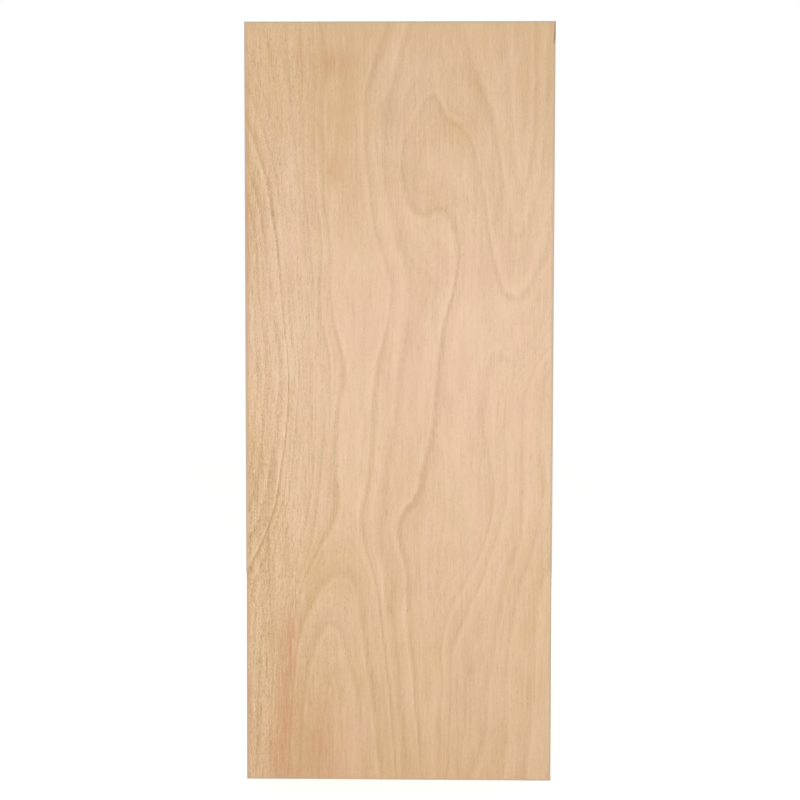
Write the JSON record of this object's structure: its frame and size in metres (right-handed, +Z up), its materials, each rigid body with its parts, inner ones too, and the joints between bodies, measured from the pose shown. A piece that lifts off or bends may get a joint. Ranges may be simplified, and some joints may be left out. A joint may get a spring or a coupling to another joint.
{
  "type": "flush door leaf",
  "caption": "Plain flush door leaf with plywood faces over a softwood frame, undrilled and unfinished.",
  "frame": {"origin": "foot of the hinge edge, at mid thickness, on the face that the hinges are screwed to", "axes": "+X from the hinge edge across the leaf to the lock edge, -Y out of the front face, +Z up"},
  "size_m": [0.826, 0.04, 2.04],
  "materials": {
    "face_veneer": "matte",
    "cross_ply": "matte",
    "inner_veneer": "matte",
    "lipping": "matte",
    "frame_softwood": "matte"
  },
  "bodies": {
    "root": {"front_face_veneer": "face_veneer", "back_face_veneer": "face_veneer", "front_cross_ply": "cross_ply", "back_cross_ply": "cross_ply", "front_inner_veneer": "inner_veneer", "back_inner_veneer": "inner_veneer", "hinge_lipping": "lipping", "lock_lipping": "lipping", "hinge_stile": "frame_softwood", "lock_stile": "frame_softwood", "top_rail": "frame_softwood", "bottom_rail": "frame_softwood", "lock_block_at_hinge_edge": "frame_softwood", "lock_block_at_lock_edge": "frame_softwood", "cross_rail_01": "frame_softwood", "cross_rail_02": "frame_softwood", "cross_rail_03": "frame_softwood", "cross_rail_04": "frame_softwood", "cross_rail_05": "frame_softwood", "cross_rail_06": "frame_softwood", "cross_rail_07": "frame_softwood", "cross_rail_08": "frame_softwood", "cross_rail_09": "frame_softwood", "cross_rail_10": "frame_softwood", "cross_rail_11": "frame_softwood", "cross_rail_12": "frame_softwood"}
  },
  "joints": []
}
